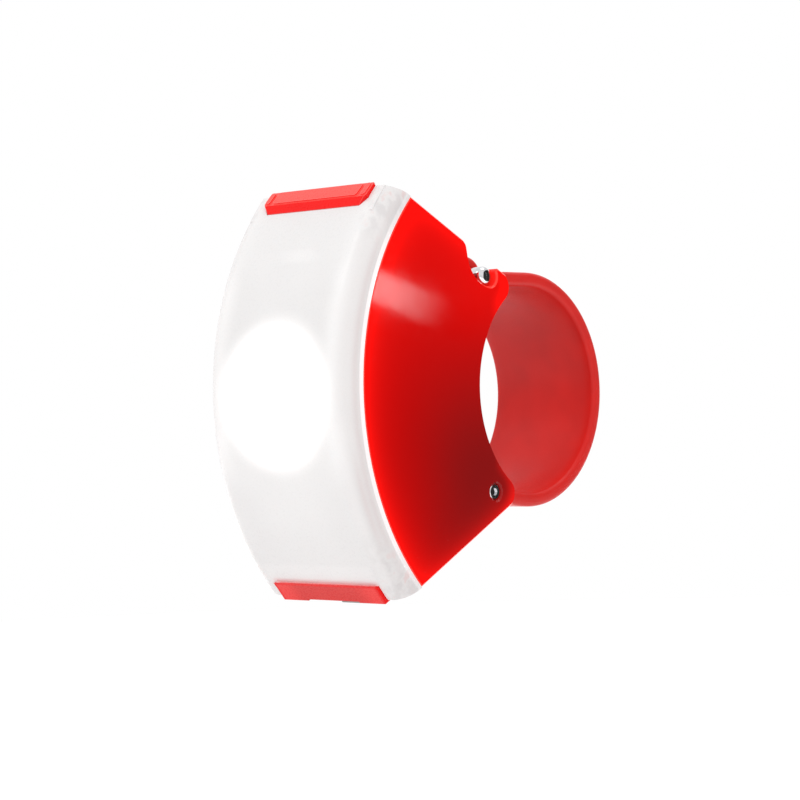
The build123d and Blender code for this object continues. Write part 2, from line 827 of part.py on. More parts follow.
with BuildPart() as board_screws:
    with BuildSketch(facing(board_front_y)):
        with Locations(*screw_places):
            Circle(screw_head_radius)
    extrude(amount=screw_head_height)
    with BuildSketch(facing(board_front_y)):
        with Locations(*screw_places):
            Circle(screw_radius)
    extrude(amount=board_front_y - main_board_back - screw_bite)
    with BuildSketch(facing(board_front_y - screw_head_height)):
        with Locations(*screw_places):
            RegularPolygon(screw_radius, 6)
    extrude(amount=-screw_head_height / 2, mode=Mode.SUBTRACT)
board_screws.part.label = "board_screws"
export_step(board_screws.part, "parts/board_screws.step")

# Lamp, collimating optic and its holder
with BuildPart() as main_lamp:
    with BuildSketch(facing(board_front_y)):
        Rectangle(lamp_size, lamp_size)
    extrude(amount=lamp_base)
    with BuildSketch(facing(board_front_y - lamp_base)):
        Circle(lamp_dome_radius)
    extrude(amount=lamp_dome_radius)
    fillet(main_lamp.faces().sort_by(Axis.Y)[0].edges(), lamp_dome_rounding)
main_lamp.part.label = "main_lamp"
export_step(main_lamp.part, "parts/main_lamp.step")

optic_front_y = drum_y(drum_radius - lens_wall, optic_radius) + optic_front_gap
flange_y = optic_front_y + optic_flange
cone_top = optic_radius - holder_wall
cone_belly = optic_base_radius + cone_fullness * (cone_top - optic_base_radius) + holder_wall

with BuildPart() as optic:
    with BuildSketch():
        with BuildLine():
            Polyline(
                (0, board_front_y - lamp_pocket),
                (lamp_pocket_radius, board_front_y - lamp_pocket),
                (lamp_pocket_radius, board_front_y),
                (optic_base_radius, board_front_y),
            )
            ThreePointArc(
                (optic_base_radius, board_front_y),
                (cone_belly, (board_front_y + flange_y) / 2),
                (cone_top, flange_y),
            )
            Polyline(
                (cone_top, flange_y),
                (optic_radius, flange_y),
                (optic_radius, optic_front_y),
                (0, optic_front_y),
                (0, board_front_y - lamp_pocket),
            )
        make_face()
    revolve(axis=Axis.Y)
optic.part.label = "optic"
export_step(optic.part, "parts/optic.step")

with BuildPart() as optic_holder:
    with BuildSketch():
        with BuildLine():
            Line((optic_base_radius + optic_gap, board_front_y), (optic_radius, board_front_y))
            Line((optic_radius, board_front_y), (optic_radius, flange_y))
            Line((optic_radius, flange_y), (cone_top + optic_gap, flange_y))
            ThreePointArc(
                (cone_top + optic_gap, flange_y),
                (cone_belly + optic_gap, (board_front_y + flange_y) / 2),
                (optic_base_radius + optic_gap, board_front_y),
            )
        make_face()
    revolve(axis=Axis.Y)
optic_holder.part.label = "optic_holder"
export_step(optic_holder.part, "parts/optic_holder.step")

# Lithium cell on its tape, the foam pad behind it and its two leads
cell_front = main_board_back + tape_gap
cell_back = cell_front + cell_thickness
cell_middle = (cell_front + cell_back) / 2

with BuildPart() as cell_tape:
    with BuildSketch(facing(cell_front)):
        Rectangle(cell_width - 2 * tape_margin, cell_height - 2 * tape_margin)
    extrude(amount=tape_gap)
cell_tape.part.label = "cell_tape"
export_step(cell_tape.part, "parts/cell_tape.step")

with BuildPart() as battery_cell:
    with BuildSketch(Plane.XY.offset(-cell_height / 2)):
        with Locations((0, cell_middle)):
            RectangleRounded(cell_width, cell_thickness, cell_rounding)
    extrude(amount=cell_height)
battery_cell.part.label = "battery_cell"
export_step(battery_cell.part, "parts/battery_cell.step")

with BuildPart() as foam_pad:
    with BuildSketch(Plane.YZ):
        with Locations((cell_back + foam_depth / 2, 0)):
            Rectangle(foam_depth, 2 * foam_half)
        Circle(saddle_radius + lens_wall + soft_gap, mode=Mode.SUBTRACT)
    extrude(amount=foam_half, both=True)
foam_pad.part.label = "foam_pad"
export_step(foam_pad.part, "parts/foam_pad.step")

lead_top_z = cell_height / 2 + lead_rise

with BuildPart() as battery_leads:
    for lead_x in lead_places:
        with BuildLine(Plane.YZ.offset(lead_x)) as lead_route:
            FilletPolyline(
                (cell_middle, cell_height / 2),
                (cell_middle, lead_top_z),
                (main_board_back, lead_top_z),
                radius=lead_bend_radius,
            )
        with BuildSketch(Plane.XY.offset(cell_height / 2)):
            with Locations((lead_x, cell_middle)):
                Circle(lead_radius)
        sweep(path=lead_route.line)
battery_leads.part.label = "battery_leads"
export_step(battery_leads.part, "parts/battery_leads.step")

# Components on the front of the main board, as (x, z, width, height, thickness)
driver_parts = (
    (5.0, 6.0, 4.0, 4.0, 1.5),
    (-4.5, 3.5, 4.0, 4.0, 0.9),
    (-4.5, -8.0, 3.0, 3.0, 0.9),
    (5.0, -3.0, 3.0, 3.0, 0.9),
    (-5.0, 10.0, 2.0, 1.2, 1.2),
    (5.0, -8.5, 2.0, 1.2, 1.2),
    (0.5, -12.5, 2.0, 1.2, 1.2),
)
with BuildPart() as driver_chips:
    for chip_x, chip_z, chip_width, chip_height, chip_thickness in driver_parts:
        with BuildSketch(facing(main_board_front)):
            with Locations((chip_x, chip_z)):
                Rectangle(chip_width, chip_height)
        extrude(amount=chip_thickness)
driver_chips.part.label = "driver_chips"
export_step(driver_chips.part, "parts/driver_chips.step")

with BuildPart() as charge_lamp:
    with BuildSketch(facing(main_board_front)):
        with Locations((board_width / 2 - charge_lamp_margin, socket_mouth_z + socket_height)):
            Rectangle(*charge_lamp_size)
    extrude(amount=charge_lamp_height)
charge_lamp.part.label = "charge_lamp"
export_step(charge_lamp.part, "parts/charge_lamp.step")
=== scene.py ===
from math import acos, atan2, cos, pi, radians, sin, sqrt

import bmesh
import bpy
from bpy.props import FloatProperty, FloatVectorProperty, PointerProperty
from mathutils import Matrix, Vector


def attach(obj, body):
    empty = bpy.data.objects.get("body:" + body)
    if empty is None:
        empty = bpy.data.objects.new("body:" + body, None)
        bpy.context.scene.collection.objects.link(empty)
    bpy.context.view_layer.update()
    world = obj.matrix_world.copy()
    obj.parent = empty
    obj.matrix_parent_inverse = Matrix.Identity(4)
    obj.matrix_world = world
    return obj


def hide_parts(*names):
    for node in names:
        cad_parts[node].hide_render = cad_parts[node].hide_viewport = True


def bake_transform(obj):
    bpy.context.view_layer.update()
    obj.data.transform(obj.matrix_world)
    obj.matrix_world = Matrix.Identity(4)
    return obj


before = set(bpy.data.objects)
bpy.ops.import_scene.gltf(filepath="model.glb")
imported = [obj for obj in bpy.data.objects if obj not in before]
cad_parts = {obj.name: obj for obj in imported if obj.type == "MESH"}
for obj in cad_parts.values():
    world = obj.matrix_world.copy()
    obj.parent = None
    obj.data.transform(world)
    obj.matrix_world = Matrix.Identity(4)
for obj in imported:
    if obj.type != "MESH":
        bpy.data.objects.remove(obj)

bl_info = {
    "name": "Bicycle Headlight",
    "version": (1, 0, 0),
    "blender": (4, 5, 0),
    "location": "View3D > Sidebar > Headlight",
    "description": "Finishes and soft parts of a clip-on bicycle headlight round its frame",
    "category": "Object",
}

# The frame's main places, in metres: +Z is up, the light shines towards -Y and the origin is
# on the axis of the clamp, which runs along X.
MM = 0.001
CLAMP_RADIUS = 15.9 * MM
PLATE_CORNER = Vector((0, -31.78, 28.0)) * MM
PLATE_FRONT_RADIUS = 40.4 * MM
DRUM_RADIUS = 43.9 * MM
# The lens's drum front and the plates' front arcs share one axis, parallel to the clamp's.
DRUM_AXIS = Vector((0, PLATE_CORNER.y + sqrt(PLATE_FRONT_RADIUS**2 - PLATE_CORNER.z**2), 0))
EDGE_SLOPE = radians(27)
HOOK_PIN = Vector((0, -14.4, 16.95)) * MM
HOOK_PIN_RADIUS = 1.5 * MM
ANCHOR_PIN = Vector((0, -14.4, -15.15)) * MM
ANCHOR_PIN_RADIUS = 1.3 * MM
PLUG_HINGE = Vector((0, -30.0396, -27.3938)) * MM
# Length of the tether's thin web across the hinge, and the way it runs from the foot to the plug.
HINGE_WEB = 0.6 * MM
WEB_RUN = Vector((0, -0.891, -0.454))


def size(label, default, note):
    """A length in metres for a property group."""
    return FloatProperty(
        name=label, description=note, default=default, min=0, unit="LENGTH", precision=5
    )


def tint(label, default, note):
    """A colour for a property group."""
    return FloatVectorProperty(
        name=label, description=note, default=default, size=3, min=0, max=1, subtype="COLOR"
    )


def degrees(label, default, note):
    """An angle in degrees for a property group."""
    return FloatProperty(name=label, description=note, default=radians(default), subtype="ANGLE")


class HeadlightCase(bpy.types.PropertyGroup):
    """Colours of the case and the lit patch on its lens"""

    lens_white: tint("Lens", (0.85, 0.835, 0.83), "Frosted lens where it is thin")
    # lens_shade is painted shade along the lens's rounding, and the grey of its clouds and corners.
    lens_shade: tint("Lens shade", (0.74, 0.72, 0.72), "Painted shade on the frosted lens, and its grey clouds and corners")
    # Painted red light from the plates on the lens.
    lens_red_glow: tint("Lens blush", (0.82, 0.66, 0.65), "Painted red glow from the plates on the lens")
    glow_radius: size("Glow radius", 10.6 * MM, "Radius of the lit patch on the lens")
    glow_blur: size("Glow blur", 3.0 * MM, "Width of the lit patch's soft rim")
    plate_red: tint("Plate red", (0.515, 0.003, 0.003), "Side plates over the case")
    # Painted shade: the plates' red darkens towards the saddle.
    plate_shade_red: tint("Plate deep red", (0.275, 0.008, 0.008), "Painted shade on the side plates near the saddle")
    # Painted highlight on the plates' bevels.
    plate_bevel_highlight: tint("Plate edge red", (0.92, 0.07, 0.05), "Painted highlight on the side plates' bevels")
    plate_glow: tint("Plate glow", (1.0, 0.006, 0.003), "Light that the plates' edges carry")
    glow_reach: size("Edge glow reach", 1.5 * MM, "How far the light reaches in from an edge")
    button_red: tint("Button red", (0.92, 0.006, 0.005), "Power button")
    # Painted highlight on the button's upward face.
    button_top_highlight: tint("Button top red", (0.96, 0.09, 0.075), "Painted highlight on the button's upper face")
    # Painted highlight along the button's edges.
    edge_highlight_red: tint("Edge highlight red", (0.95, 0.30, 0.27), "Painted highlight on the power button's edges")
    cap_red: tint("Cap red", (0.80, 0.035, 0.03), "Surround of the charging port")
    cap_light: tint("Cap light red", (0.98, 0.045, 0.04), "Ends of the port's surround")


class HeadlightStrap(bpy.types.PropertyGroup):
    """Sizes and colours of the strap and the rubber pieces"""

    width: size("Strap width", 20.0 * MM, "Width of the strap across the light")
    thickness: size("Strap thickness", 2.2 * MM, "Thickness of the strap")
    eye_radius: size("Eye radius", 3.2 * MM, "Outer radius of the eyes round the pins")
    edge_radius: size("Edge radius", 0.7 * MM, "Rounding of the strap's long edges")
    grip_pitch: size("Grip pitch", 3.0 * MM, "Distance between the strap's grip grooves")
    grip_depth: size("Grip depth", 0.35 * MM, "Depth of the strap's grip grooves")
    pad_thickness: size("Pad thickness", 1.4 * MM, "Thickness of the saddle pad")
    pad_reach: size("Pad reach", 11.3 * MM, "Half height of the saddle pad")
    silicone: tint("Silicone", (0.74, 0.014, 0.010), "Red silicone of the strap")
    rubber: tint("Rubber", (0.035, 0.035, 0.038), "Dark rubber of the pad and seals")
    plug_grey: tint("Plug grey", (0.36, 0.36, 0.355), "Silicone of the port's plug")


class HeadlightStudio(bpy.types.PropertyGroup):
    """Camera, lamps and floor"""

    lens: FloatProperty(
        name="Focal length", description="Camera focal length", default=105.12, unit="CAMERA"
    )
    place: FloatVectorProperty(
        name="Camera place",
        description="Where the camera stands",
        default=(0.233957, -0.28364, -0.001751),
        subtype="TRANSLATION",
        precision=5,
    )
    azimuth: degrees("Azimuth", 41.52, "Camera direction, from the front towards +X")
    elevation: degrees("Elevation", -0.11, "Angle of the camera above level")
    roll: degrees("Roll", -1.66, "Camera tilt")
    floor_drop: size("Floor drop", 85 * MM, "Distance from the clamp's axis to the floor")
    floor_radius: size("Floor radius", 600 * MM, "Radius of the round floor")
    room_light: FloatProperty(
        name="Room light", description="Even light from all round", default=0.67, min=0
    )
    floor_color: tint("Floor", (0.9, 0.9, 0.9), "Pale studio floor")


class Finish:
    """A procedural finish: one Principled shader and the nodes that feed it."""

    def __init__(self, name, color, roughness, **values):
        self.material = bpy.data.materials.new(name)
        self.material.use_nodes = True
        self.material.cycles.emission_sampling = "NONE"
        self.tree = self.material.node_tree
        self.shader = self.tree.nodes["Principled BSDF"]
        self.shader.inputs["Base Color"].default_value = (*color, 1)
        self.shader.inputs["Roughness"].default_value = roughness
        for socket, value in values.items():
            self.shader.inputs[socket.replace("_", " ")].default_value = value
        self.place = self.node("TexCoord").outputs["Object"]
        self.x, self.y, self.z = self.node("SeparateXYZ", {"Vector": self.place}).outputs

    def node(self, kind, inputs=None, **settings):
        """New shader node with its settings, and its inputs set or linked."""
        made = self.tree.nodes.new("ShaderNode" + kind)
        for key, value in settings.items():
            setattr(made, key, value)
        for key, value in (inputs or {}).items():
            if isinstance(value, bpy.types.NodeSocket):
                self.tree.links.new(value, made.inputs[key])
            else:
                made.inputs[key].default_value = value
        return made

    def math(self, operation, first, second=0.0):
        """Result of one step of arithmetic."""
        return self.node("Math", {0: first, 1: second}, operation=operation).outputs[0]

    def total(self, *terms):
        """Sum of several values."""
        result = terms[0]
        for term in terms[1:]:
            result = self.math("ADD", result, term)
        return result

    def span(self, value, low, high, start=0.0, end=1.0):
        """Soft step of a value: start below low, end above high."""
        inputs = {"Value": value, "From Min": low, "From Max": high, "To Min": start, "To Max": end}
        ranged = self.node("MapRange", inputs, interpolation_type="SMOOTHSTEP")
        return ranged.outputs["Result"]

    def fade(self, distance, reach):
        """1 on an edge, falling away over a reach."""
        return self.math("POWER", 2.718, self.math("DIVIDE", distance, -reach))

    def bell(self, value, middle, width):
        """1 at a middle value, falling away on both sides."""
        off = self.math("SUBTRACT", value, middle)
        return self.fade(self.times(off, off), width * width)

    def times(self, *factors):
        """Product of several values."""
        result = factors[0]
        for factor in factors[1:]:
            result = self.math("MULTIPLY", result, factor)
        return result

    def weighted(self, *terms):
        """Sum of values, each with its weight."""
        return self.total(*(self.times(value, weight) for value, weight in terms))

    def radius(self, first, second):
        """Length of two coordinates."""
        return self.math("SQRT", self.total(self.times(first, first), self.times(second, second)))

    def distance(self, place):
        """Distance from a line along X through a place."""
        return self.radius(
            self.math("SUBTRACT", self.y, place.y), self.math("SUBTRACT", self.z, place.z)
        )

    def noise(self, feature, detail=2.0, stretch=(1, 1, 1)):
        """Noise with features of a size in metres, stretched along the axes."""
        mapped = self.node("Mapping", {"Vector": self.place, "Scale": stretch})
        inputs = {"Vector": mapped.outputs[0], "Scale": 1 / feature, "Detail": detail}
        return self.node("TexNoise", inputs).outputs["Fac"]

    def edges(self, width):
        """1 on sharp edges, falling to 0 a width away from them."""
        rounded = self.node("Bevel", {"Radius": width}, samples=8).outputs[0]
        flat = self.node("NewGeometry").outputs["True Normal"]
        match = self.node("VectorMath", {0: rounded, 1: flat}, operation="DOT_PRODUCT")
        return self.span(match.outputs["Value"], 0.985, 0.9)

    def mix(self, factor, first, second):
        """Blend of two colours."""
        colors = [c if isinstance(c, bpy.types.NodeSocket) else (*c, 1) for c in (first, second)]
        inputs = {0: factor, 6: colors[0], 7: colors[1]}
        return self.node("Mix", inputs, data_type="RGBA").outputs[2]

    def feed(self, socket, source):
        """Links a result to the shader."""
        self.tree.links.new(source, self.shader.inputs[socket])

    def fed(self, socket):
        """Result that is linked to a socket of the shader."""
        return self.shader.inputs[socket].links[0].from_socket

    def part_of_normal(self, axis):
        """One coordinate of the surface's normal."""
        normal = self.node("NewGeometry").outputs["Normal"]
        return self.node("SeparateXYZ", {"Vector": normal}).outputs[axis]

    def bump(self, height, depth):
        """Relief of a depth in metres."""
        bump = self.node("Bump", {"Height": height, "Distance": depth, "Strength": 1.0})
        self.feed("Normal", bump.outputs[0])

    def speckle(self, base, shade, feature, rough, rough_spread, depth):
        """Mottled colour, roughness and relief in one go: fine grain and much broader clouds."""
        grain = self.noise(feature)
        cloud = self.weighted((self.noise(feature * 24, 1.0), 0.88), (grain, 0.12))
        self.feed("Base Color", self.mix(self.span(cloud, 0.3, 0.75), base, shade))
        low, high = rough - rough_spread, rough + rough_spread
        self.feed("Roughness", self.span(grain, 0.3, 0.7, low, high))
        self.bump(grain, depth)


def toned(color, red, rest=None):
    """A colour with its red scaled, and its green and blue by the same or another factor."""
    rest = red if rest is None else rest
    return (color[0] * red, color[1] * rest, color[2] * rest)


def dress(material, *nodes):
    """Gives a finish to pieces of the frame."""
    for name in nodes:
        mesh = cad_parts[name].data
        mesh.materials.clear()
        mesh.materials.append(material)


def smoothed(piece, limit):
    """Smooth shading that keeps edges sharper than a limit in degrees."""
    for face in piece.data.polygons:
        face.use_smooth = True
    piece.data.set_sharp_from_angle(angle=radians(limit))
    return piece


def new_piece(name, shape, material):
    """Object made from a bmesh, with its finish."""
    mesh = bpy.data.meshes.new(name)
    bmesh.ops.recalc_face_normals(shape, faces=shape.faces)
    shape.to_mesh(mesh)
    shape.free()
    mesh.materials.append(material)
    piece = bpy.data.objects.new(name, mesh)
    bpy.context.scene.collection.objects.link(piece)
    return piece


def applied(piece, *modifiers):
    """Adds modifiers with their settings and applies them."""
    for kind, settings in modifiers:
        modifier = piece.modifiers.new(kind.lower(), kind)
        for key, value in settings.items():
            setattr(modifier, key, value)
    bpy.context.view_layer.update()
    shaped = piece.evaluated_get(bpy.context.evaluated_depsgraph_get())
    mesh = bpy.data.meshes.new_from_object(shaped)
    piece.modifiers.clear()
    old, piece.data = piece.data, mesh
    bpy.data.meshes.remove(old)
    return piece


def softened(name, node, material, width, segments=3):
    """Copy of a frame piece with rounded edges, as moulded rubber has."""
    shape = bmesh.new()
    shape.from_mesh(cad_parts[node].data)
    bmesh.ops.remove_doubles(shape, verts=shape.verts, dist=MM / 1000)
    bmesh.ops.dissolve_limit(shape, angle_limit=radians(2), verts=shape.verts, edges=shape.edges)
    piece = new_piece(name, shape, material)
    for face in piece.data.polygons:
        face.use_smooth = True
    rounding = {
        "width": width,
        "segments": segments,
        "limit_method": "ANGLE",
        "angle_limit": radians(30),
    }
    return applied(piece, ("BEVEL", rounding), ("WEIGHTED_NORMAL", {"keep_sharp": True}))


def ringed(piece, start, end, count):
    """Cuts rings into a piece between two places."""
    shape = bmesh.new()
    shape.from_mesh(piece.data)
    for i in range(count + 1):
        place = start + (end - start) * (i / count)
        cut = [*shape.verts, *shape.edges, *shape.faces]
        bmesh.ops.bisect_plane(shape, geom=cut, plane_co=place, plane_no=end - start)
    shape.to_mesh(piece.data)
    shape.free()


def anticlockwise(outline, marks):
    """A closed outline and its points' marks, both turned round if it runs clockwise."""
    area = sum(a.x * b.y - b.x * a.y for a, b in zip(outline, outline[1:] + outline[:1]))
    return (outline[::-1], marks[::-1]) if area < 0 else (outline, marks)


def side_normals(outline):
    """Outward normals of a closed outline in the side view, listed anticlockwise."""
    count = len(outline)
    normals = []
    for i in range(count):
        run = outline[(i + 1) % count] - outline[i - 1]
        normals.append(Vector((run.y, -run.x)).normalized())
    return normals


CORNER_STEPS = 4


def moulded(name, outline, holes, half_width, rounding, material, relief=None, stations=9):
    """Soft extrusion along X: a side outline with round holes and rounded long edges.

    relief gives how far a point of the outline is sunk, from its index and its place along X.
    """
    loops = [(outline, side_normals(outline), -1)]
    loops += [(hole, side_normals(hole), 1) for hole in holes]
    # Each slice has a place along X and an inset: a rounded end, the flat, the other end.
    corner = []
    for k in reversed(range(CORNER_STEPS + 1)):
        turn = k / CORNER_STEPS * pi / 2
        corner.append((half_width - rounding * (1 - sin(turn)), rounding * (1 - cos(turn))))
    flat = half_width - rounding
    middle = [(flat - 2 * flat * k / stations, 0.0) for k in range(1, stations)]
    slices = corner + middle + [(-x, inset) for x, inset in corner[::-1]]
    shape = bmesh.new()
    ends = []
    for points, normals, way in loops:
        rings = []
        for x, inset in slices:
            ring = []
            for i, (point, normal) in enumerate(zip(points, normals)):
                sink = inset
                if relief and way < 0:
                    sink = max(sink, relief(i, x))
                place = point + normal * sink * way
                ring.append(shape.verts.new((x, place.x, place.y)))
            rings.append(ring)
        for first, second in zip(rings, rings[1:]):
            for i in range(len(points)):
                j = (i + 1) % len(points)
                shape.faces.new((first[i], first[j], second[j], second[i]))
        ends.append((rings[0], rings[-1]))
    for end in (0, 1):
        edges = []
        for rings in ends:
            ring = rings[end]
            for i, vertex in enumerate(ring):
                edges.append(shape.edges.get((vertex, ring[(i + 1) % len(ring)])))
        bmesh.ops.triangle_fill(shape, use_beauty=True, edges=edges)
    return smoothed(new_piece(name, shape, material), 50)


def circle(middle, radius, count=40):
    """Closed circle in the side view."""
    turns = [2 * pi * i / count for i in range(count)]
    return [Vector((middle.y + radius * cos(a), middle.z + radius * sin(a))) for a in turns]


def undoable(step):
    """Lets an operator be undone after it has run."""
    step.bl_options = {"REGISTER", "UNDO"}
    return step


@undoable
class HEADLIGHT_OT_lens(bpy.types.Operator):
    """Frosted lens shell with the lit patch of the lamp"""

    bl_idname = "headlight.lens"
    bl_label = "Lens shell"

    def execute(self, context):
        case = context.scene.headlight_case
        frosted = Finish(
            "frosted_polycarbonate",
            case.lens_white,
            0.3,
            Subsurface_Weight=0.15,
            Subsurface_Radius=(1.0, 0.9, 0.85),
            Subsurface_Scale=1.2 * MM,
            Specular_IOR_Level=0.15,
            Coat_Weight=0.3,
            Coat_Roughness=0.05,
            Emission_Color=(1, 0.985, 0.98, 1),
        )
        across = frosted.math("ABSOLUTE", frosted.x)
        high = frosted.math("ABSOLUTE", frosted.z)
        depth = frosted.math("SUBTRACT", DRUM_RADIUS, frosted.distance(DRUM_AXIS))
        grain = frosted.noise(0.3 * MM, 1.0)
        waves = frosted.noise(1.5 * MM, 2.0, (1, 1, 0.6))
        self.shade(frosted, case, across, high, depth, waves)
        self.glow(frosted, case, across, high, depth)
        frosted.feed("Roughness", frosted.span(grain, 0.3, 0.7, 0.26, 0.34))
        frosted.bump(frosted.math("ADD", grain, frosted.times(waves, 2.0)), 0.0008 * MM)
        dress(frosted.material, "lens_shell")
        return {"FINISHED"}

    def shade(self, frosted, case, across, high, depth, waves):
        """Painted shade, grey clouds and corners, and painted red glow on the lens."""
        corner = frosted.span(high, 19 * MM, 27 * MM)
        # Painted shade: a grey line follows the rounding by the plates, with a finer one in front
        # of it below.
        turn = frosted.times(
            frosted.bell(depth, 2.0 * MM, 0.5 * MM), frosted.span(high, 18 * MM, 24 * MM, 1.0, 0.35)
        )
        line = frosted.times(
            frosted.bell(depth, 1.15 * MM, 0.3 * MM),
            frosted.span(high, 24 * MM, 18 * MM),
            frosted.span(frosted.z, -6 * MM, -14 * MM),
        )
        # The corners are greyer in mottled patches by the sides, and clouds lie over the whole lens
        # and most of all below.
        edge_tint = frosted.times(
            frosted.span(waves, 0.42, 0.62), frosted.span(across, 9.5 * MM, 13 * MM), corner
        )
        cloud = frosted.span(frosted.noise(11 * MM, 1.0), 0.35, 0.7)
        low_cloud = frosted.times(
            frosted.span(frosted.z, -9 * MM, -16 * MM), frosted.bell(across, 9 * MM, 3.5 * MM)
        )
        grey = frosted.weighted(
            (turn, 0.70),
            (line, 0.45),
            (edge_tint, 0.85),
            (cloud, 0.15),
            (low_cloud, 0.25),
            (corner, 0.1),
        )
        color = frosted.mix(frosted.math("MINIMUM", grey, 1.0), case.lens_white, case.lens_shade)
        # Painted red light from the plates: pink by the sides, in patches at the corners and along
        # the shaded lines.
        edge = frosted.span(across, 10.5 * MM, 13.8 * MM)
        corner_pink = frosted.times(edge, corner, frosted.span(waves, 0.42, 0.3))
        lines = frosted.math("ADD", turn, line)
        painted_red_glow = frosted.weighted((corner_pink, 0.7), (edge, 0.08), (lines, 0.22))
        frosted.feed("Base Color", frosted.mix(painted_red_glow, color, case.lens_red_glow))

    def glow(self, frosted, case, across, high, depth):
        """Light of the lamp in the lens: the lit patch, and what the shell carries to its edges."""
        # The optic's bright mouth shows through the front as a patch with a weak halo.
        reach = frosted.radius(frosted.x, frosted.z)
        inner, outer = case.glow_radius - case.glow_blur, case.glow_radius + case.glow_blur
        disc = frosted.span(reach, inner, outer, 1.0, 0.0)
        halo = frosted.fade(reach, 9 * MM)
        lit = frosted.weighted((frosted.times(disc, disc), 0.62), (halo, 0.10))
        # The side walls carry light from the middle upwards, and the outer skin carries it down.
        level = frosted.times(
            frosted.span(frosted.z, -15 * MM, -5 * MM, 0.0, 0.09),
            frosted.span(frosted.z, 21 * MM, 15 * MM, 0.4, 1.0),
        )
        walls = frosted.times(frosted.bell(across, 11.2 * MM, 1.7 * MM), level)
        low = frosted.times(
            frosted.span(frosted.z, 6 * MM, -18 * MM, 0.0, 0.085),
            frosted.span(depth, 0.9 * MM, 0.15 * MM),
        )
        front = frosted.span(frosted.y, -33 * MM, -37 * MM)
        # Light leaves the shell by the plates, and as a thin line along the port's surround.
        rim = frosted.times(
            frosted.span(depth, 2.6 * MM, 2.85 * MM, 0.0, 0.24),
            frosted.span(high, 28 * MM, 20 * MM, 0.35, 1.0),
            frosted.span(depth, 4.2 * MM, 3.6 * MM),
        )
        seat = frosted.times(
            frosted.span(frosted.z, -24.4 * MM, -25 * MM),
            frosted.span(across, 10.8 * MM, 10.5 * MM),
            frosted.bell(depth, 0.7 * MM, 0.4 * MM),
            0.5,
        )
        strength = frosted.total(frosted.times(frosted.total(lit, walls, low), front), rim, seat)
        frosted.feed("Emission Strength", strength)


@undoable
class HEADLIGHT_OT_side_plates(bpy.types.Operator):
    """Glossy red side plates that carry light along their edges"""

    bl_idname = "headlight.side_plates"
    bl_label = "Side plates"

    def execute(self, context):
        case = context.scene.headlight_case
        gloss = Finish(
            "glossy_red_plate",
            case.plate_red,
            0.05,
            Specular_IOR_Level=0.12,
            Coat_Weight=0.08,
            Coat_Roughness=0.03,
            Emission_Color=(*case.plate_glow, 1),
        )
        from_front = gloss.math("SUBTRACT", PLATE_FRONT_RADIUS, gloss.distance(DRUM_AXIS))
        ahead = gloss.math("SUBTRACT", PLATE_CORNER.y, gloss.y)
        above = gloss.math("SUBTRACT", PLATE_CORNER.z, gloss.math("ABSOLUTE", gloss.z))
        from_edge = gloss.weighted((ahead, sin(EDGE_SLOPE)), (above, cos(EDGE_SLOPE)))
        # Painted shade: deeper red towards the lower back, where the plate lies on the housing by
        # the saddle.
        back = gloss.span(gloss.y, -38 * MM, -17 * MM)
        painted_shade = gloss.times(back, gloss.span(gloss.z, 14 * MM, -12 * MM))
        cloud = gloss.span(gloss.noise(11 * MM, 1.0), 0.35, 0.7)
        painted_shade = gloss.math("ADD", painted_shade, gloss.times(cloud, 0.05))
        color = gloss.mix(painted_shade, case.plate_red, case.plate_shade_red)
        # Painted highlight: paler bevels, all but the one round the anchor pin's hole.
        facing = gloss.math("ABSOLUTE", gloss.part_of_normal(0))
        bevel_highlight = gloss.times(
            gloss.span(facing, 0.96, 0.80),
            gloss.span(facing, 0.1, 0.4, 0.3, 1.0),
            gloss.span(gloss.distance(ANCHOR_PIN), 1.7 * MM, 2.0 * MM),
            0.8,
        )
        gloss.feed("Base Color", gloss.mix(bevel_highlight, color, case.plate_bevel_highlight))
        # Light runs inside the plate and leaves it along its edges, most of all in front, along
        # the upper half, by the hook and round the pins' ears.
        reach = case.glow_reach
        edges = gloss.weighted(
            (gloss.fade(from_front, reach * 2), 0.60),
            (gloss.fade(from_front, reach * 0.6), 0.20),
            (gloss.fade(from_edge, reach), 0.48),
        )
        upper = gloss.span(gloss.z, -12 * MM, 24 * MM, 0.0, 0.24)
        hook = gloss.times(
            gloss.span(gloss.y, -32 * MM, -15 * MM), gloss.span(gloss.z, 4 * MM, 15 * MM, 0, 0.1)
        )
        edges = gloss.total(edges, upper, hook)
        for pin in (HOOK_PIN, ANCHOR_PIN):
            from_pin = gloss.distance(pin)
            ear = gloss.times(
                gloss.span(from_pin, 1.8 * MM, 4.4 * MM),
                gloss.span(gloss.y, -15 * MM, -12 * MM),
                gloss.span(from_pin, 8 * MM, 5 * MM),
                0.35,
            )
            edges = gloss.math("ADD", edges, ear)
        gloss.feed("Emission Strength", gloss.math("MINIMUM", edges, 0.6))
        dust = gloss.span(gloss.noise(0.5 * MM, 1.0), 0.78, 0.84)
        peel = gloss.noise(1.6 * MM, 1.0)
        polish = gloss.span(peel, 0.3, 0.7, 0.035, 0.06)
        gloss.feed("Roughness", gloss.math("ADD", polish, gloss.times(dust, 0.3)))
        gloss.bump(gloss.math("ADD", peel, dust), 0.0015 * MM)
        dress(gloss.material, "left_side_plate", "right_side_plate")
        return {"FINISHED"}


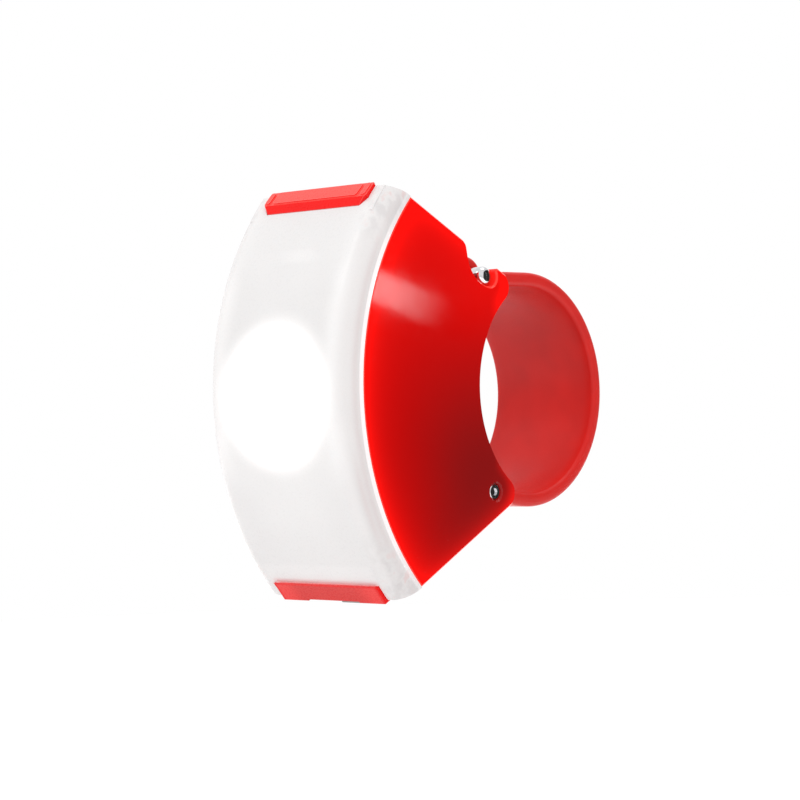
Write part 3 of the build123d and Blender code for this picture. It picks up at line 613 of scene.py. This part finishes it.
@undoable
class HEADLIGHT_OT_housing(bpy.types.Operator):
    """Rear housing and the seal between it and the lens"""

    bl_idname = "headlight.housing"
    bl_label = "Rear housing and seal"

    def execute(self, context):
        case = context.scene.headlight_case
        band = context.scene.headlight_strap
        satin = Finish("satin_red_housing", case.plate_red, 0.35, Coat_Weight=0.1)
        shade = toned(case.plate_red, 0.8)
        satin.speckle(case.plate_red, shade, 0.35 * MM, 0.36, 0.06, 0.006 * MM)
        dress(satin.material, "rear_housing")
        rubber = Finish("seal_rubber", band.rubber, 0.6)
        shade = toned(band.rubber, 1.6)
        rubber.speckle(band.rubber, shade, 0.25 * MM, 0.6, 0.1, 0.008 * MM)
        seal = softened("case_seal", "lens_gasket", rubber.material, 0.12 * MM)
        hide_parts("lens_gasket")
        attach(seal, "light")
        dress(rubber.material, "stem_seal")
        return {"FINISHED"}


@undoable
class HEADLIGHT_OT_button(bpy.types.Operator):
    """Power button on the upper front corner"""

    bl_idname = "headlight.button"
    bl_label = "Power button"

    def execute(self, context):
        case = context.scene.headlight_case
        # The button glows faintly in the plates' glow red: painted light.
        satin = Finish(
            "satin_red_button",
            case.button_red,
            0.3,
            Specular_IOR_Level=0.2,
            Coat_Weight=0.08,
            Coat_Roughness=0.15,
            Emission_Color=(*case.plate_glow, 1),
            Emission_Strength=0.10,
        )
        shade = toned(case.button_red, 0.94, 0.7)
        satin.speckle(case.button_red, shade, 0.25 * MM, 0.3, 0.04, 0.001 * MM)
        # Painted highlight: the pressed face is paler towards its back, and its edges are paler
        # still.
        top_highlight = satin.times(
            satin.span(satin.part_of_normal(2), 0.4, 0.62),
            satin.span(satin.z, 25.5 * MM, 29.5 * MM, 0.35, 1.0),
        )
        color = satin.mix(top_highlight, satin.fed("Base Color"), case.button_top_highlight)
        edge_tint = satin.times(satin.edges(0.14 * MM), 0.6)
        satin.feed("Base Color", satin.mix(edge_tint, color, case.edge_highlight_red))
        dress(satin.material, "power_button")
        return {"FINISHED"}


@undoable
class HEADLIGHT_OT_port(bpy.types.Operator):
    """Charging port's surround, soft plug and socket"""

    bl_idname = "headlight.port"
    bl_label = "Charging port"

    def execute(self, context):
        case = context.scene.headlight_case
        band = context.scene.headlight_strap
        cap = Finish(
            "satin_red_cap",
            case.cap_red,
            0.28,
            Specular_IOR_Level=0.15,
            Coat_Weight=0.05,
            Coat_Roughness=0.15,
        )
        shade = toned(case.cap_red, 0.95, 0.7)
        cap.speckle(case.cap_red, shade, 0.3 * MM, 0.28, 0.04, 0.0005 * MM)
        # A deeper red line of painted shade runs along the cap's upper edge and down its ends,
        # which are lighter.
        across = cap.math("ABSOLUTE", cap.x)
        ends = cap.span(across, 5 * MM, 9 * MM)
        color = cap.mix(ends, cap.fed("Base Color"), case.cap_light)
        line = cap.math(
            "MAXIMUM",
            cap.span(cap.z, -28 * MM, -27.8 * MM),
            cap.span(across, 9.6 * MM, 9.8 * MM),
        )
        cap.feed("Base Color", cap.mix(line, color, case.button_red))
        dress(cap.material, "port_cap")
        grey = Finish("grey_silicone", band.plug_grey, 0.48, Sheen_Weight=0.1)
        shade = toned(band.plug_grey, 0.82)
        grey.speckle(band.plug_grey, shade, 0.3 * MM, 0.48, 0.08, 0.008 * MM)
        plug = softened("soft_plug", "port_plug", grey.material, 0.16 * MM)
        tether = softened("soft_tether", "plug_tether", grey.material, 0.06 * MM, 2)
        for piece, node in ((plug, "port_plug"), (tether, "plug_tether")):
            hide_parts(node)
        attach(plug, "plug")
        # Rings are cut across the thin web between the foot and the plug.
        half_web = WEB_RUN * (HINGE_WEB / 2)
        start, end = PLUG_HINGE - half_web, PLUG_HINGE + half_web
        ringed(tether, start, end, 8)
        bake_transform(tether)
        plain, dull = (0.62, 0.62, 0.63), (0.5, 0.5, 0.51)
        steel = Finish("socket_steel", plain, 0.3, Metallic=1.0)
        steel.speckle(plain, dull, 0.12 * MM, 0.3, 0.08, 0.002 * MM)
        dress(steel.material, "socket_shell")
        return {"FINISHED"}


@undoable
class HEADLIGHT_OT_pins(bpy.types.Operator):
    """Polished hook pin and the anchor pin"""

    bl_idname = "headlight.pins"
    bl_label = "Pins"

    def execute(self, context):
        bright, dull = (0.78, 0.78, 0.79), (0.62, 0.62, 0.64)
        steel = Finish("polished_steel", bright, 0.07, Metallic=1.0)
        # Fine marks run along the pins.
        drawn = steel.noise(0.16 * MM, 2.0, (0.15, 1, 1))
        steel.feed("Roughness", steel.span(drawn, 0.35, 0.75, 0.05, 0.14))
        cloud = steel.span(steel.noise(1.1 * MM, 2.0), 0.35, 0.7)
        steel.feed("Base Color", steel.mix(cloud, bright, dull))
        steel.bump(drawn, 0.0005 * MM)
        dress(steel.material, "hook_pin", "anchor_pin")
        return {"FINISHED"}


EYE_STEPS = 28
RUN_STEPS = 6
CURVE_STEPS = 240


def strap_outline(band):
    """Side outline of the strap, and how far along its curve each point of its back lies."""
    half = band.thickness / 2
    middle = CLAMP_RADIUS + half

    def touch(pin, way):
        """Angle where the straight run from a pin meets the strap's curve."""
        return atan2(pin.z, pin.y) - way * acos(middle / sqrt(pin.y**2 + pin.z**2))

    # The path goes round the upper eye, along its run, over the curve and back to the lower eye.
    # Each point has its place, the way the path goes there and its step from a pin.
    upper, lower = touch(HOOK_PIN, 1), touch(ANCHOR_PIN, -1)
    runs = []
    for pin, angle in ((HOOK_PIN, upper), (ANCHOR_PIN, lower)):
        start = Vector((pin.y, pin.z))
        meet = Vector((cos(angle), sin(angle))) * middle
        run = (meet - start).length
        steps = [-band.eye_radius * cos(pi * i / EYE_STEPS) for i in range(EYE_STEPS + 1)]
        rest = run - band.eye_radius
        steps += [band.eye_radius + rest * (i + 1) / RUN_STEPS for i in range(RUN_STEPS)]
        away = (meet - start).normalized()
        runs.append([(start + away * step, away, step) for step in steps])
    curve = []
    for i in range(1, CURVE_STEPS):
        angle = upper + (lower - upper) * i / CURVE_STEPS
        away = Vector((sin(angle), -cos(angle)))
        curve.append((Vector((cos(angle), sin(angle))) * middle, away, None))
    back = [(place, -away, step) for place, away, step in runs[1][::-1]]
    outer, inner, marks = [], [], []
    travelled = 0.0
    last = None
    for place, away, step in runs[0] + curve + back:
        swell = half
        if step is not None:
            # Half height of the eye, which flows into the strap's own half thickness.
            swell = sqrt(max(band.eye_radius**2 - step**2, 0))
            if step > 0:
                swell = (swell**6 + half**6) ** (1 / 6)
        out = Vector((-away.y, away.x))
        outer.append(place + out * swell)
        inner.append(place - out * swell)
        travelled += (place - last).length if last is not None else 0
        last = place
        marks.append(travelled if step is None else None)
    outline = outer + inner[::-1]
    marks += [None] * len(inner)
    # The eyes' tips close to a point, so one of each pair of equal points goes.
    kept = [i for i, p in enumerate(outline) if (p - outline[i - 1]).length > 0.02 * MM]
    return [outline[i] for i in kept], [marks[i] for i in kept]


@undoable
class HEADLIGHT_OT_strap(bpy.types.Operator):
    """Silicone strap with its eyes, rounded edges and grip grooves"""

    bl_idname = "headlight.strap"
    bl_label = "Strap"

    def execute(self, context):
        band = context.scene.headlight_strap
        silicone = Finish(
            "red_silicone",
            band.silicone,
            0.42,
            Specular_IOR_Level=0.3,
            Subsurface_Weight=0.1,
            Subsurface_Radius=(1.0, 0.15, 0.1),
            Subsurface_Scale=0.8 * MM,
            Sheen_Weight=0.04,
            Sheen_Roughness=0.4,
        )
        shade = toned(band.silicone, 0.9)
        silicone.speckle(band.silicone, shade, 0.22 * MM, 0.42, 0.06, 0.003 * MM)
        outline, marks = anticlockwise(*strap_outline(band))
        along = [mark for mark in marks if mark is not None]
        # The grooves stop short of the curve's ends and of the strap's long edges.
        first, last = min(along) + 6 * MM, max(along) - 6 * MM
        margin = band.width / 2 - 3 * MM

        def grip(i, x):
            """Depth of the grip grooves across the strap's back."""
            if marks[i] is None or abs(x) > margin or not first < marks[i] < last:
                return 0.0
            return band.grip_depth * max(0.0, cos(2 * pi * marks[i] / band.grip_pitch)) ** 2

        strap = moulded(
            "strap_band",
            outline,
            [circle(HOOK_PIN, HOOK_PIN_RADIUS), circle(ANCHOR_PIN, ANCHOR_PIN_RADIUS)],
            band.width / 2,
            band.edge_radius,
            silicone.material,
            relief=grip,
            stations=14,
        )
        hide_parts("strap")
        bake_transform(strap)
        return {"FINISHED"}


@undoable
class HEADLIGHT_OT_saddle_pad(bpy.types.Operator):
    """Rubber pad that lines the saddle"""

    bl_idname = "headlight.saddle_pad"
    bl_label = "Saddle pad"

    def execute(self, context):
        band = context.scene.headlight_strap
        rubber = Finish("pad_rubber", band.rubber, 0.55, Sheen_Weight=0.15)
        shade = toned(band.rubber, 1.7)
        rubber.speckle(band.rubber, shade, 0.3 * MM, 0.55, 0.1, 0.01 * MM)
        inner, outer = CLAMP_RADIUS, CLAMP_RADIUS + band.pad_thickness
        reach = acos(sqrt(outer**2 - band.pad_reach**2) / outer)
        steps, rib_depth, ribs_per_turn, bare_end = 60, 0.45 * MM, 16, 0.14
        turns = [pi - reach + 2 * reach * i / steps for i in range(steps + 1)]
        outline = [Vector((cos(turn), sin(turn))) * outer for turn in turns]
        outline += [Vector((cos(turn), sin(turn))) * inner for turn in turns[::-1]]
        outline, marks = anticlockwise(outline, [None] * len(turns) + turns[::-1])

        def ribs(i, x):
            """Depth of the grooves between the pad's ribs."""
            if marks[i] is None or abs(marks[i] - pi) > reach - bare_end:
                return 0.0
            return rib_depth * max(0.0, cos(ribs_per_turn * (marks[i] - pi))) ** 2

        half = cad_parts["saddle_pad"].dimensions.x / 2
        pad = moulded("ribbed_pad", outline, [], half, 0.25 * MM, rubber.material, ribs)
        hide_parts("saddle_pad")
        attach(pad, "light")
        return {"FINISHED"}


@undoable
class HEADLIGHT_OT_inside(bpy.types.Operator):
    """Finishes of the lamp, boards, switch and cell inside the case"""

    bl_idname = "headlight.inside"
    bl_label = "Inner parts"

    def execute(self, context):
        # name, colour, second colour, grain in mm, roughness, shader values, nodes
        clear = {"Transmission_Weight": 0.9, "IOR": 1.49}
        finishes = (
            (
                "solder_mask",
                (0.02, 0.16, 0.07),
                (0.015, 0.12, 0.05),
                0.4,
                0.3,
                {},
                ("main_board", "switch_board"),
            ),
            ("white_mask", (0.8, 0.8, 0.78), (0.7, 0.7, 0.69), 0.4, 0.35, {}, ("lamp_board",)),
            (
                "black_nylon",
                (0.02, 0.02, 0.022),
                (0.035, 0.035, 0.037),
                0.25,
                0.5,
                {},
                ("tact_switch", "switch_plunger", "socket_tongue"),
            ),
            (
                "white_nylon",
                (0.8, 0.8, 0.78),
                (0.72, 0.72, 0.7),
                0.3,
                0.45,
                {},
                ("optic_holder", "charge_lamp"),
            ),
            ("clear_acrylic", (0.95, 0.95, 0.96), (0.9, 0.92, 0.94), 2.0, 0.05, clear, ("optic",)),
            (
                "lamp_phosphor",
                (0.9, 0.72, 0.15),
                (0.8, 0.6, 0.1),
                0.3,
                0.3,
                {"Coat_Weight": 1.0},
                ("main_lamp",),
            ),
            (
                "spacer_brass",
                (0.7, 0.5, 0.2),
                (0.6, 0.42, 0.16),
                0.3,
                0.3,
                {"Metallic": 1.0},
                ("board_spacers",),
            ),
            (
                "zinc_screw",
                (0.6, 0.6, 0.62),
                (0.45, 0.45, 0.47),
                0.2,
                0.35,
                {"Metallic": 1.0},
                ("board_screws",),
            ),
            (
                "cell_foil",
                (0.55, 0.57, 0.6),
                (0.45, 0.47, 0.5),
                0.8,
                0.3,
                {"Metallic": 0.8},
                ("battery_cell",),
            ),
            ("white_tape", (0.75, 0.75, 0.72), (0.65, 0.65, 0.62), 0.3, 0.7, {}, ("cell_tape",)),
            ("grey_foam", (0.1, 0.1, 0.105), (0.06, 0.06, 0.065), 0.5, 0.9, {}, ("foam_pad",)),
            (
                "red_wire",
                (0.55, 0.02, 0.015),
                (0.45, 0.015, 0.01),
                0.3,
                0.35,
                {},
                ("battery_leads",),
            ),
            ("black_epoxy", (0.015, 0.015, 0.016), (0.03,) * 3, 0.2, 0.4, {}, ("driver_chips",)),
        )
        for name, color, shade, grain, rough, values, nodes in finishes:
            finish = Finish(name, color, rough, **values)
            finish.speckle(color, shade, grain * MM, rough, rough * 0.15, 0.004 * MM)
            dress(finish.material, *nodes)
        return {"FINISHED"}


def lamp(name, azimuth, elevation, distance, breadth, power):
    """Square soft lamp that faces the case from a direction in degrees."""
    data = bpy.data.lights.new(name, "AREA")
    data.shape = "SQUARE"
    data.size = breadth
    data.energy = power
    made = bpy.data.objects.new(name, data)
    around, above = radians(azimuth), radians(elevation)
    away = Vector((sin(around) * cos(above), -cos(around) * cos(above), sin(above)))
    made.location = Vector((0, -25, 0)) * MM + away * distance
    made.rotation_mode = "QUATERNION"
    made.rotation_quaternion = away.to_track_quat("Z", "Y")
    bpy.context.scene.collection.objects.link(made)
    return made


@undoable
class HEADLIGHT_OT_stage(bpy.types.Operator):
    """Camera, lamps, reflector cards and pale floor"""

    bl_idname = "headlight.stage"
    bl_label = "Studio"

    def execute(self, context):
        scene = context.scene
        studio = scene.headlight_studio
        scene.view_settings.view_transform = "Standard"
        self.camera(scene, studio)
        self.room(scene, studio)
        # name, azimuth, elevation, distance, breadth, power, and whether gloss mirrors the lamp
        for name, around, above, distance, breadth, power, mirrored in (
            ("front_lamp", 48, 44, 0.6, 0.22, 0.85, False),
            ("left_lamp", -60, 32, 0.6, 0.22, 0.68, False),
            ("back_lamp", 205, 25, 0.7, 0.25, 0.6, False),
            ("top_lamp", 150, 70, 0.6, 0.35, 0.6, True),
        ):
            lamp(name, around, above, distance, breadth, power).visible_glossy = mirrored
        self.reflectors()
        self.floor(studio)
        return {"FINISHED"}

    def camera(self, scene, studio):
        """Camera of the photograph, with its roll."""
        data = bpy.data.cameras.new("camera")
        data.lens = studio.lens
        data.sensor_width = 36
        data.clip_start = 0.02
        around, above, roll = studio.azimuth, studio.elevation, studio.roll
        back = Vector((sin(around) * cos(above), -cos(around) * cos(above), sin(above)))
        right = Vector((cos(around), sin(around), 0))
        up = back.cross(right)
        across = right * cos(roll) + up * sin(roll)
        upward = up * cos(roll) - right * sin(roll)
        camera = bpy.data.objects.new("camera", data)
        turned = Matrix((across, upward, back)).transposed().to_4x4()
        camera.matrix_world = Matrix.Translation(studio.place) @ turned
        scene.collection.objects.link(camera)
        scene.camera = camera

    def room(self, scene, studio):
        """White to the camera, gloss and glass, and even light for the surfaces."""
        world = bpy.data.worlds.new("studio")
        scene.world = world
        world.use_nodes = True
        tree = world.node_tree
        nodes, links = tree.nodes, tree.links
        background = nodes["Background"]
        ray = nodes.new("ShaderNodeLightPath").outputs
        seen = ray["Is Camera Ray"]
        for kind in ("Is Glossy Ray", "Is Transmission Ray"):
            either = nodes.new("ShaderNodeMath")
            either.operation = "MAXIMUM"
            links.new(seen, either.inputs[0])
            links.new(ray[kind], either.inputs[1])
            seen = either.outputs[0]
        strength = nodes.new("ShaderNodeMapRange")
        strength.inputs["To Min"].default_value = studio.room_light
        strength.inputs["To Max"].default_value = 1.0
        links.new(seen, strength.inputs["Value"])
        links.new(strength.outputs[0], background.inputs["Strength"])
        background.inputs["Color"].default_value = (1, 1, 1, 1)

    def reflector(self, name, place, facing, along, half_length, half_width, strength, fades=()):
        """Card that only gloss mirrors, bright or dark by its strength.

        Each fade is an axis of the card and the places, from -1 to 1, where it starts and ends.
        """
        glow = bpy.data.materials.new(name + "_glow")
        glow.use_nodes = True
        glow.cycles.emission_sampling = "NONE"
        nodes, links = glow.node_tree.nodes, glow.node_tree.links
        nodes.clear()
        output = nodes.new("ShaderNodeOutputMaterial")
        emission = nodes.new("ShaderNodeEmission")
        links.new(emission.outputs[0], output.inputs[0])
        emission.inputs["Strength"].default_value = strength
        split = nodes.new("ShaderNodeSeparateXYZ")
        links.new(nodes.new("ShaderNodeTexCoord").outputs["Object"], split.inputs[0])
        level = None
        for axis, low, high in fades:
            ramp = nodes.new("ShaderNodeMapRange")
            ramp.interpolation_type = "SMOOTHSTEP"
            ramp.inputs["From Min"].default_value = low
            ramp.inputs["From Max"].default_value = high
            links.new(split.outputs[axis], ramp.inputs["Value"])
            product = nodes.new("ShaderNodeMath")
            product.operation = "MULTIPLY"
            product.inputs[0].default_value = strength
            if level is not None:
                links.new(level, product.inputs[0])
            links.new(ramp.outputs[0], product.inputs[1])
            level = product.outputs[0]
            links.new(level, emission.inputs["Strength"])
        shape = bmesh.new()
        bmesh.ops.create_grid(shape, x_segments=1, y_segments=1, size=1)
        card = new_piece(name, shape, glow)
        along = (along - facing * along.dot(facing)).normalized()
        across = facing.cross(along)
        axes = Matrix((along * half_length, across * half_width, facing)).transposed().to_4x4()
        card.matrix_world = Matrix.Translation(place) @ axes
        card.visible_camera = False
        card.visible_diffuse = False
        card.visible_shadow = False

    def reflectors(self):
        """Cards that the plate and the lens mirror at the camera's angle."""
        # The left plate mirrors a soft band, and beyond it a dark wall and little else.
        facing = Vector((0.663, 0.749, 0)).normalized()
        side = Vector((0.749, -0.663, 0)).normalized()
        tilt = radians(24.7)
        along = side * cos(tilt) + Vector((0, 0, 1)) * sin(tilt)
        place = facing * 0.45 + side * 0.036 + Vector((0, 0, 0.0368))
        band = (("X", -0.7, 0.1), ("Y", -1.0, -0.5), ("Y", 1.0, 0.6))
        self.reflector("strip_reflector", place, facing, along, 0.031, 0.0065, 11.5, band)
        self.reflector("dark_wall", facing * 0.5, facing, side, 0.28, 0.3, 0.03)
        # The lens mirrors a small window above and a pale wall along its rounding.
        place, along = Vector((-0.414, -0.263, 0.392)), Vector((0, -0.86, -0.51))
        window = (("X", -1.0, -0.4), ("X", 1.0, 0.4), ("Y", -1.0, -0.4), ("Y", 1.0, 0.4))
        facing = place.normalized()
        self.reflector("window_reflector", place, facing, along, 0.034, 0.010, 3.2, window)
        place, along = Vector((-0.223, -0.386, 0.401)), Vector((0.866, -0.5, 0))
        wall = (("X", -1.0, -0.9), ("X", 1.0, -0.2), ("Y", -1.0, -0.7), ("Y", 1.0, 0.7))
        facing = place.normalized()
        self.reflector("wall_reflector", place, facing, along, 0.17, 0.13, 2.6, wall)

    def floor(self, studio):
        """Round pale floor that fades to the white of the room and keeps the light's shadow."""
        shape = bmesh.new()
        bmesh.ops.create_circle(shape, cap_ends=True, segments=128, radius=studio.floor_radius)
        pale = Finish("pale_floor", studio.floor_color, 0.8)
        shade = toned(studio.floor_color, 0.985)
        pale.speckle(studio.floor_color, shade, 4 * MM, 0.8, 0.05, 0.02 * MM)
        inner, outer = 0.2 * studio.floor_radius, 0.75 * studio.floor_radius
        white = pale.span(pale.radius(pale.x, pale.y), inner, outer, 0.35, 1.0)
        ray = pale.node("LightPath").outputs
        seen = ray["Is Camera Ray"]
        for kind in ("Is Glossy Ray", "Is Transmission Ray"):
            seen = pale.math("MAXIMUM", seen, ray[kind])
        pale.shader.inputs["Emission Color"].default_value = (1, 1, 1, 1)
        pale.feed("Emission Strength", pale.times(seen, white))
        floor = new_piece("floor", shape, pale.material)
        floor.location.z = -studio.floor_drop


OPERATORS = (
    HEADLIGHT_OT_stage,
    HEADLIGHT_OT_lens,
    HEADLIGHT_OT_side_plates,
    HEADLIGHT_OT_housing,
    HEADLIGHT_OT_button,
    HEADLIGHT_OT_port,
    HEADLIGHT_OT_pins,
    HEADLIGHT_OT_strap,
    HEADLIGHT_OT_saddle_pad,
    HEADLIGHT_OT_inside,
)
GROUPS = {
    "headlight_case": HeadlightCase,
    "headlight_strap": HeadlightStrap,
    "headlight_studio": HeadlightStudio,
}


class HEADLIGHT_PT_build(bpy.types.Panel):
    """Steps that finish the headlight, with their sizes and colours"""

    bl_idname = "HEADLIGHT_PT_build"
    bl_label = "Bicycle headlight"
    bl_space_type = "VIEW_3D"
    bl_region_type = "UI"
    bl_category = "Headlight"

    def draw(self, context):
        for group in GROUPS:
            box = self.layout.box()
            settings = getattr(context.scene, group)
            for name in settings.bl_rna.properties.keys():
                if name not in ("rna_type", "name"):
                    box.prop(settings, name)
        for operator in OPERATORS:
            self.layout.operator(operator.bl_idname)


def register():
    for kind in (*GROUPS.values(), *OPERATORS, HEADLIGHT_PT_build):
        bpy.utils.register_class(kind)
    for name, group in GROUPS.items():
        setattr(bpy.types.Scene, name, PointerProperty(type=group))


def unregister():
    for name in GROUPS:
        delattr(bpy.types.Scene, name)
    for kind in (HEADLIGHT_PT_build, *OPERATORS, *GROUPS.values()):
        bpy.utils.unregister_class(kind)


def main():
    """Finishes the frame step by step."""
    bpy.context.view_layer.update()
    register()
    for operator in OPERATORS:
        group, step = operator.bl_idname.split(".")
        getattr(getattr(bpy.ops, group), step)()


if __name__ == "__main__":
    main()
